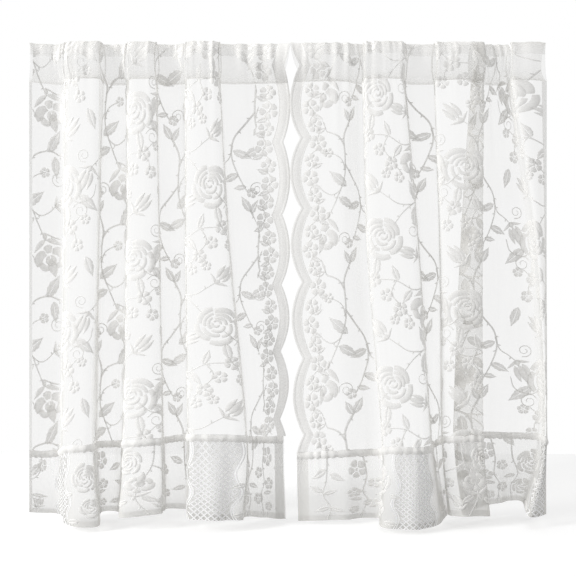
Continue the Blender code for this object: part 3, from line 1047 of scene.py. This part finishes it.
def node(owner, kind, output=0, settings=None, **inputs):
    """Adds a node to a material or a world, and gives back one of its output sockets.

    settings are the node's properties. inputs are values or sockets, named as the node names
    them or numbered as i0, i1 and so on.
    """
    made = owner.node_tree.nodes.new(kind)
    for name, value in (settings or {}).items():
        setattr(made, name, value)
    for name, value in inputs.items():
        key = int(name[1:]) if name[1:].isdigit() else name.replace("_", " ")
        if isinstance(value, bpy.types.NodeSocket):
            owner.node_tree.links.new(value, made.inputs[key])
        else:
            made.inputs[key].default_value = value
    return made.outputs[output] if len(made.outputs) else None


print("white yarn, linear:", [round(part, 3) for part in linear("#fbfaf8")])

# %% Yarn, and how much of the light it stops
LEAST_COSINE = 0.12  # nearly edge-on cloth is counted as if it stood at 83 degrees
MATT, FAINT_SHEEN, SOFT_SHEEN, WEAK_GLOSS = 0.8, 0.15, 0.5, 0.25


def knitted(name, colour, cover, lit_through):
    """Material of white yarn; cover(material) gives the share of a square-on view it fills.

    At a slant the same yarns fill more of the view: open share to the power of one over the
    cosine. Layer Weight's facing value is one minus that cosine. lit_through is the share of
    the yarn's light that comes through from the other side.
    """
    material = bpy.data.materials.new(name)
    material.use_nodes = True
    material.node_tree.nodes.clear()
    less, divide = {"operation": "SUBTRACT"}, {"operation": "DIVIDE"}
    power, most = {"operation": "POWER"}, {"operation": "MAXIMUM"}
    open_square_on = node(material, "ShaderNodeMath", 0, less, i0=1.0, i1=cover(material))
    facing = node(material, "ShaderNodeLayerWeight", "Facing", Blend=0.5)
    cosine = node(material, "ShaderNodeMath", 0, less, i0=1.0, i1=facing)
    cosine = node(material, "ShaderNodeMath", 0, most, i0=cosine, i1=LEAST_COSINE)
    crossed = node(material, "ShaderNodeMath", 0, divide, i0=1.0, i1=cosine)
    open_share = node(material, "ShaderNodeMath", 0, power, i0=open_square_on, i1=crossed)
    covered = node(material, "ShaderNodeMath", 0, less, i0=1.0, i1=open_share)
    yarn = node(
        material,
        "ShaderNodeBsdfPrincipled",
        Base_Color=linear(colour),
        Roughness=MATT,
        Sheen_Weight=FAINT_SHEEN,
        Sheen_Roughness=SOFT_SHEEN,
        Specular_IOR_Level=WEAK_GLOSS,
    )
    through = node(material, "ShaderNodeBsdfTranslucent", Color=linear(colour))
    cloth = node(material, "ShaderNodeMixShader", i0=lit_through, i1=yarn, i2=through)
    clear = node(material, "ShaderNodeBsdfTransparent")
    seen = node(material, "ShaderNodeMixShader", i0=covered, i1=clear, i2=cloth)
    node(material, "ShaderNodeOutputMaterial", Surface=seen)
    return material


print("a net that fills 0.21 square on fills", round(1 - 0.79 ** (1 / 0.5), 2), "at 60 degrees")

# %% The kinds of knitting
NET_BANDS = (160.0, 9.0, 1.0)  # per metre: bands about 6 mm wide and 110 mm long
BAND_SPREAD = 0.05  # how far a band's cover strays either way
PATCHES = 230.0  # per metre: uneven patches about 4 mm across, coarser than real stitches


def net_cover(share, painted_foot_shade=0.0):
    """Fine net, a little denser and looser in upright bands, with painted shade at its foot: its
    cover rises by the given amount towards the hem, so it darkens downwards.
    """

    def cover(material):
        cloth = node(material, "ShaderNodeUVMap", 0, {"uv_map": "cloth"})
        stretched = node(material, "ShaderNodeMapping", Vector=cloth, Scale=NET_BANDS)
        bands = node(material, "ShaderNodeTexNoise", Vector=stretched, Scale=1.0, Detail=3.0)
        low, high = share * (1 - BAND_SPREAD), share * (1 + BAND_SPREAD)
        spread = node(material, "ShaderNodeMapRange", Value=bands, i1=0.3, i2=0.7, i3=low, i4=high)
        down = node(material, "ShaderNodeSeparateXYZ", "Y", Vector=cloth)
        end = FLOUNCE_LENGTH * MM
        # painted shade: extra cover from 20 mm below the top down to the hem, darker towards the
        # hem
        foot = node(material, "ShaderNodeMapRange", Value=down, i1=0.02, i2=end, i4=painted_foot_shade)
        return node(material, "ShaderNodeMath", 0, {"operation": "ADD"}, i0=spread, i1=foot)

    return cover


def figure_cover(least, most, loosest=0.72):
    """Figures: the weight attribute, made uneven in patches, goes from least cover to most."""

    def cover(material):
        weight = node(material, "ShaderNodeAttribute", "Fac", {"attribute_name": "weight"})
        cloth = node(material, "ShaderNodeUVMap", 0, {"uv_map": "cloth"})
        noise = node(material, "ShaderNodeTexNoise", Vector=cloth, Scale=PATCHES, Detail=2.0)
        packed = node(
            material, "ShaderNodeMapRange", Value=noise, i1=0.36, i2=0.62, i3=loosest, i4=1.03
        )
        times = {"operation": "MULTIPLY"}
        uneven = node(material, "ShaderNodeMath", 0, times, i0=weight, i1=packed)
        return node(material, "ShaderNodeMapRange", Value=uneven, i3=least, i4=most)

    return cover


print("bands in the net, mm:", round(1000 / NET_BANDS[0], 1), "by", round(1000 / NET_BANDS[1]))

# %% The six finishes
# The body's ground: four fifths open, so the eye sees through it to the cloth or wall behind.
# Its yarn is greyer than the figures' white: painted shade, for the shade inside the net's holes.
net = knitted("knitted_polyester_net_ground", "#f0efec", net_cover(0.21), 0.3)
# The pocket's ground: the same net with the same painted shade in its greyer yarn, but two layers
# of it give the heading a milky band.
doubled = knitted("knitted_polyester_net_doubled", "#f0efec", net_cover(0.21), 0.3)
# The flounce's ground: a closer net, whose greyer yarn colour is painted shade,
# with more painted shade added in its cover towards its hem.
close_net_painted_shade = knitted("knitted_polyester_close_net", "#e6e5e2", net_cover(0.29, 0.18), 0.3)
# The figures: solid knitting, white where the light falls on it and grey against the light.
figured = knitted("knitted_polyester_dense_figure", "#fbfaf8", figure_cover(0.25, 0.99), 0.14)
# The trellis yarn: thick, even and brightest of all.
raised = knitted("knitted_polyester_raised_yarn", "#ffffff", figure_cover(0.25, 0.99, 1.0), 0.08)
# The trellis cells: a low, half-open filling whose grey yarn colour is painted shade, for the shade
# of the yarn round it.
filling = knitted("knitted_polyester_cell_filling", "#dcdbd8", figure_cover(0.0, 0.5), 0.25)

GROUND_FINISH = {"pocket": doubled, "panel": net, "flounce": close_net_painted_shade}
FIGURE_FINISH = {"cells": filling, "trellis": raised}
for (side, part), thing in grounds.items():
    thing.data.materials.append(GROUND_FINISH[part])
for (_, _, name), thing in pieces.items():
    thing.data.materials.append(FIGURE_FINISH.get(name, figured))
print("finishes:", sorted(material.name for material in bpy.data.materials))

# %% [markdown]
# ## Standing in the frame
# Cloth has no joints, so every piece rides on the frame's one body. Each ground takes the place
# of a plain construction solid, which is hidden.

# %% Riding on the frame
NODES = {"pocket": "rod_pocket", "panel": "panel", "flounce": "flounce"}
for (side, part, _), thing in pieces.items():
    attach(thing, "root")
for (side, part), thing in grounds.items():
    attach(thing, "root")
    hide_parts(f"{side}_{NODES[part]}")
    drape = drapes[side, part]

# %% [markdown]
# ## Floor, light and camera
# White lace on white shows only by shading. A large soft light well round to the left leaves the
# gaps between the folds and the folds' right sides in shade, and catches the raised edges of the
# figures. A weak one from the right and one overhead keep the shade pale. The floor is a white
# card just under the hems.

# %% Floor
FLOOR_GAP = 0.006
CARD_WIDE, CARD_DEEP = 0.9, 0.55  # half sizes
CARD_GLOW = 0.4  # lit from below, so that the card's rim doesn't show


def stage_floor(height):
    """A white card, which throws no light up on the hems."""
    corners = [
        (x * CARD_WIDE, y * CARD_DEEP, height) for x, y in ((-1, -1), (1, -1), (1, 1), (-1, 1))
    ]
    mesh = bpy.data.meshes.new("floor")
    mesh.from_pydata(corners, [], [(0, 1, 2, 3)])
    floor = in_scene("floor", mesh)
    # Matt card: an even white with no highlight.
    paint = bpy.data.materials.new("matt_white_card")
    paint.use_nodes = True
    shader = paint.node_tree.nodes["Principled BSDF"]
    shader.inputs["Base Color"].default_value = linear("#e0e0e0")
    shader.inputs["Roughness"].default_value = 0.9
    shader.inputs["Emission Color"].default_value = linear("#ffffff")
    shader.inputs["Emission Strength"].default_value = CARD_GLOW
    mesh.materials.append(paint)
    floor.visible_diffuse = False


lowest = min(corner[2] for corner in cad_box)
stage_floor(lowest - FLOOR_GAP)
print("floor height, metres:", round(lowest - FLOOR_GAP, 4))

# %% Lights
def soft_light(name, place, aim, width, height, watts):
    """A large rectangular light at a place, facing a point."""
    data = bpy.data.lights.new(name, "AREA")
    data.shape = "RECTANGLE"
    data.size, data.size_y, data.energy = width, height, watts
    lamp = in_scene(name, data)
    lamp.location = place
    lamp.rotation_euler = (Vector(aim) - Vector(place)).to_track_quat("-Z", "Y").to_euler()


MIDDLE = (0.0, 0.0, -0.4)
soft_light("key_from_the_left", (-3.11, -1.65, 0.6), MIDDLE, 0.9, 1.8, 97.0)
soft_light("fill_from_the_right", (3.2, -0.9, -0.2), MIDDLE, 0.9, 1.8, 12.0)
soft_light("overhead", (0.0, 0.0, 1.6), (0.0, 0.0, -0.8), 1.5, 1.5, 11.0)
print("lights, watts:", {light.name: round(light.energy) for light in bpy.data.lights})

# %% White surroundings: full strength to the eye, under half as a light
AMBIENT = 0.47
world = bpy.data.worlds.new("white_studio")
world.use_nodes = True
world.node_tree.nodes.clear()
seen_directly = node(world, "ShaderNodeLightPath", "Is Camera Ray")
strength = node(world, "ShaderNodeMapRange", Value=seen_directly, i3=AMBIENT, i4=1.0)
backdrop = node(world, "ShaderNodeBackground", Color=(1, 1, 1, 1), Strength=strength)
node(world, "ShaderNodeOutputWorld", Surface=backdrop)
bpy.context.scene.world = world
bpy.context.scene.view_settings.view_transform = "Standard"
print("surroundings as a light:", AMBIENT)

# %% Camera, level with the curtain's middle
CAMERA_DISTANCE = 1.30
CAMERA_HEIGHT = -0.392
SEEN_WIDTH = 0.9216
SENSOR = 36.0
camera_data = bpy.data.cameras.new("camera")
camera_data.sensor_width = SENSOR
camera_data.lens = SENSOR * CAMERA_DISTANCE / SEEN_WIDTH
camera = in_scene("camera", camera_data)
camera.location = (0.0, -CAMERA_DISTANCE, CAMERA_HEIGHT)
camera.rotation_euler = (np.pi / 2, 0.0, 0.0)
bpy.context.scene.camera = camera
print("lens, mm:", round(camera_data.lens, 1))
